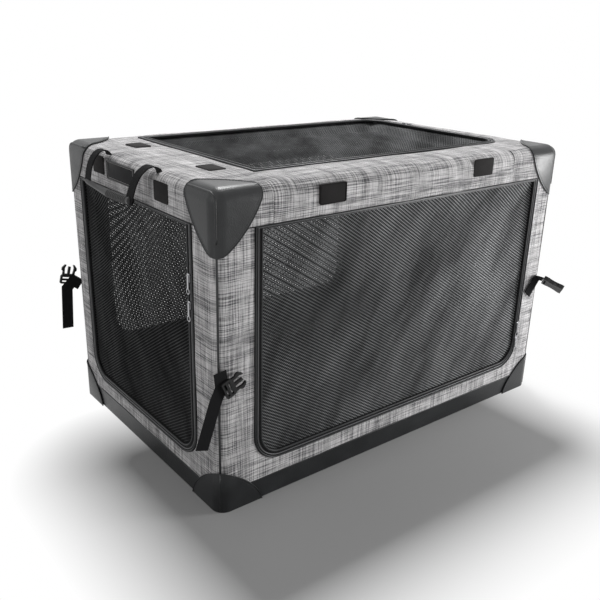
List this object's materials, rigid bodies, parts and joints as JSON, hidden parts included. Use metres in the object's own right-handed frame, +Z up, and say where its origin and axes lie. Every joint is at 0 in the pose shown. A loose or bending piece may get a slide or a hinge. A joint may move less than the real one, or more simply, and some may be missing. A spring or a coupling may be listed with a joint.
{
  "type": "folding pet crate",
  "caption": "Soft-sided folding pet travel crate: fabric walls and zipped mesh doors on a steel frame that folds flat, with roof flap, mat, carry handle and buckle tabs.",
  "frame": {"origin": "middle of the crate's footprint on the floor, without the handle and the buckle tabs", "axes": "+Z up, +X along the length away from the handle end, -Y towards the side with the large door"},
  "size_m": [0.977, 0.7286, 0.6053],
  "materials": {
    "grey_linen": "woven light-grey padded polyester with darker slubs, matt",
    "black_vinyl": "black leatherette with a fine grain, satin",
    "black_netting": "open black polyester mesh, matt",
    "black_binding": "black bound edge with a coil zip, matt",
    "black_webbing": "black woven polypropylene webbing",
    "coated_steel": "dark powder-coated steel tube, semi-gloss",
    "silver_metal": "bright plated zinc",
    "black_nylon": "black moulded nylon, satin",
    "grip_rubber": "dark grey soft plastic grip, ribbed",
    "mat_fleece": "grey quilted fleece mat",
    "floor_board": "stiff black floor insert",
    "bare_patch": "bare moulded patch with a raised rim"
  },
  "bodies": {
    "base": {"base_pan": "black_vinyl", "floor_board": "floor_board", "floor_mat": "mat_fleece", "bottom_hoop": "coated_steel", "bottom_cap_left_front": "black_vinyl", "bottom_cap_left_back": "black_vinyl", "bottom_cap_right_front": "black_vinyl", "bottom_cap_right_back": "black_vinyl", "front_wall": "grey_linen", "back_wall": "grey_linen", "left_wall": "grey_linen", "right_wall": "grey_linen", "back_window_mesh": "black_netting"},
    "left_lower_posts": {"lower_post_left_front": "coated_steel", "lower_post_left_back": "coated_steel", "knuckle_pin_left_front": "coated_steel", "knuckle_pin_left_back": "coated_steel"},
    "left_upper_posts": {"upper_post_left_front": "coated_steel", "upper_post_left_back": "coated_steel"},
    "roof": {"top_hoop": "coated_steel", "roof_cover": "grey_linen", "front_header": "grey_linen", "label_patch": "bare_patch", "top_cap_left_front": "black_vinyl", "top_cap_left_back": "black_vinyl", "top_cap_right_front": "black_vinyl", "top_cap_right_back": "black_vinyl"},
    "right_upper_posts": {"upper_post_right_front": "coated_steel", "upper_post_right_back": "coated_steel"},
    "right_lower_posts": {"lower_post_right_front": "coated_steel", "lower_post_right_back": "coated_steel", "knuckle_pin_right_front": "coated_steel", "knuckle_pin_right_back": "coated_steel"},
    "long_door": {"long_door_mesh": "black_netting", "long_door_binding": "black_binding"},
    "short_door": {"short_door_mesh": "black_netting", "short_door_binding": "black_binding"},
    "roof_flap": {"roof_flap_mesh": "black_netting", "roof_flap_binding": "black_binding"},
    "handle": {"handle_webbing": "black_webbing", "handle_grip": "grip_rubber"},
    "long_door_upper_zip_slider": {"long_door_upper_slider": "silver_metal"},
    "long_door_upper_zip_pull": {"long_door_upper_pull": "silver_metal"},
    "long_door_lower_zip_slider": {"long_door_lower_slider": "silver_metal"},
    "long_door_lower_zip_pull": {"long_door_lower_pull": "silver_metal"},
    "short_door_upper_zip_slider": {"short_door_upper_slider": "silver_metal"},
    "short_door_upper_zip_pull": {"short_door_upper_pull": "silver_metal"},
    "short_door_lower_zip_slider": {"short_door_lower_slider": "silver_metal"},
    "short_door_lower_zip_pull": {"short_door_lower_pull": "silver_metal"},
    "roof_flap_zip_slider": {"roof_flap_slider": "silver_metal"},
    "roof_flap_zip_pull": {"roof_flap_pull": "silver_metal"},
    "left_front_tab": {"left_front_strap": "black_webbing", "left_front_buckle": "black_nylon"},
    "left_back_tab": {"left_back_strap": "black_webbing", "left_back_buckle": "black_nylon"},
    "right_front_tab": {"right_front_strap": "black_webbing", "right_front_buckle": "black_nylon"},
    "right_back_tab": {"right_back_strap": "black_webbing", "right_back_buckle": "black_nylon"}
  },
  "joints": [
    {"name": "fold", "type": "hinge", "parent": "base", "child": "left_lower_posts", "pos_m": [-0.4233, 0, 0.04], "axis": [0, 1, 0], "range_deg": [0, 86], "deforming": ["front_wall", "back_wall", "left_wall", "right_wall", "back_window_mesh", "top_cap_left_front", "top_cap_left_back", "top_cap_right_front", "top_cap_right_back", "bottom_cap_left_front", "bottom_cap_left_back", "bottom_cap_right_front", "bottom_cap_right_back", "long_door_mesh", "long_door_binding", "short_door_mesh", "short_door_binding", "long_door_upper_slider", "long_door_upper_pull", "long_door_lower_slider", "long_door_lower_pull", "short_door_upper_slider", "short_door_upper_pull", "short_door_lower_slider", "short_door_lower_pull"]},
    {"name": "left_knee", "type": "hinge", "parent": "left_lower_posts", "child": "left_upper_posts", "pos_m": [-0.4256, 0, 0.29615], "axis": [0, 1, 0], "range_deg": [-172, 0]},
    {"name": "roof_level", "type": "hinge", "parent": "left_upper_posts", "child": "roof", "pos_m": [-0.4233, 0, 0.5523], "axis": [0, 1, 0], "range_deg": [0, 86]},
    {"name": "right_top", "type": "hinge", "parent": "roof", "child": "right_upper_posts", "pos_m": [0.4233, 0, 0.5523], "axis": [0, 1, 0], "range_deg": [0, 86]},
    {"name": "right_knee", "type": "hinge", "parent": "right_upper_posts", "child": "right_lower_posts", "pos_m": [0.4256, 0, 0.29615], "axis": [0, 1, 0], "range_deg": [-172, 0]},
    {"name": "long_door_hinge", "type": "hinge", "parent": "roof", "child": "long_door", "pos_m": [0.007, -0.3, 0.53], "axis": [-1, 0, 0], "range_deg": [0, 175]},
    {"name": "short_door_hinge", "type": "hinge", "parent": "roof", "child": "short_door", "pos_m": [-0.455, 0.0045, 0.53], "axis": [0, 1, 0], "range_deg": [0, 92]},
    {"name": "roof_flap_hinge", "type": "hinge", "parent": "roof", "child": "roof_flap", "pos_m": [-0.31, 0.025, 0.5995], "axis": [0, -1, 0], "range_deg": [0, 100]},
    {"name": "handle_swing", "type": "hinge", "parent": "roof", "child": "handle", "pos_m": [-0.4463, -0.006, 0.5945], "axis": [0, 1, 0], "range_deg": [0, 95]},
    {"name": "long_door_upper_zip", "type": "slide", "parent": "long_door", "child": "long_door_upper_zip_slider", "axis": [0, 0, -1], "range_m": [-0.32, 0]},
    {"name": "long_door_upper_pull_swing", "type": "hinge", "parent": "long_door_upper_zip_slider", "child": "long_door_upper_zip_pull", "pos_m": [0.382, -0.3031, 0.1845], "axis": [-1, 0, 0], "range_deg": [0, 150]},
    {"name": "long_door_lower_zip", "type": "slide", "parent": "long_door", "child": "long_door_lower_zip_slider", "axis": [0, 0, 1], "range_m": [-0.006, 0]},
    {"name": "long_door_lower_pull_swing", "type": "hinge", "parent": "long_door_lower_zip_slider", "child": "long_door_lower_zip_pull", "pos_m": [0.382, -0.3031, 0.1465], "axis": [-1, 0, 0], "range_deg": [0, 150]},
    {"name": "short_door_upper_zip", "type": "slide", "parent": "short_door", "child": "short_door_upper_zip_slider", "axis": [0, 0, -1], "range_m": [-0.07, 0]},
    {"name": "short_door_upper_pull_swing", "type": "hinge", "parent": "short_door_upper_zip_slider", "child": "short_door_upper_zip_pull", "pos_m": [-0.4581, -0.217, 0.4395], "axis": [0, 1, 0], "range_deg": [0, 150]},
    {"name": "short_door_lower_zip", "type": "slide", "parent": "short_door", "child": "short_door_lower_zip_slider", "axis": [0, 0, 1], "range_m": [-0.24, 0]},
    {"name": "short_door_lower_pull_swing", "type": "hinge", "parent": "short_door_lower_zip_slider", "child": "short_door_lower_zip_pull", "pos_m": [-0.4581, -0.217, 0.3895], "axis": [0, 1, 0], "range_deg": [0, 150]},
    {"name": "roof_flap_zip", "type": "slide", "parent": "roof_flap", "child": "roof_flap_zip_slider", "axis": [0, 1, 0], "range_m": [-0.25, 0]},
    {"name": "roof_flap_pull_swing", "type": "hinge", "parent": "roof_flap_zip_slider", "child": "roof_flap_zip_pull", "pos_m": [0.382, 0.1245, 0.6031], "axis": [-1, 0, 0], "range_deg": [0, 150]},
    {"name": "left_front_tab_lift", "type": "hinge", "parent": "left_lower_posts", "child": "left_front_tab", "pos_m": [-0.4523, -0.3015, 0.29615], "axis": [-1, 0, 0], "range_deg": [0, 80]},
    {"name": "left_back_tab_lift", "type": "hinge", "parent": "left_lower_posts", "child": "left_back_tab", "pos_m": [-0.4523, 0.3015, 0.32615], "axis": [1, 0, 0], "range_deg": [0, 80]},
    {"name": "right_front_tab_swing", "type": "hinge", "parent": "right_lower_posts", "child": "right_front_tab", "pos_m": [0.392, -0.3015, 0.26], "axis": [0, 0, -1], "range_deg": [0, 90]},
    {"name": "right_back_tab_swing", "type": "hinge", "parent": "right_lower_posts", "child": "right_back_tab", "pos_m": [0.392, 0.3015, 0.26], "axis": [0, 0, 1], "range_deg": [0, 90]}
  ],
  "couplings": [
    {"joint": "left_knee", "follows": "fold", "ratio": -2},
    {"joint": "roof_level", "follows": "fold", "ratio": 1},
    {"joint": "right_top", "follows": "fold", "ratio": 1},
    {"joint": "right_knee", "follows": "fold", "ratio": -2}
  ]
}
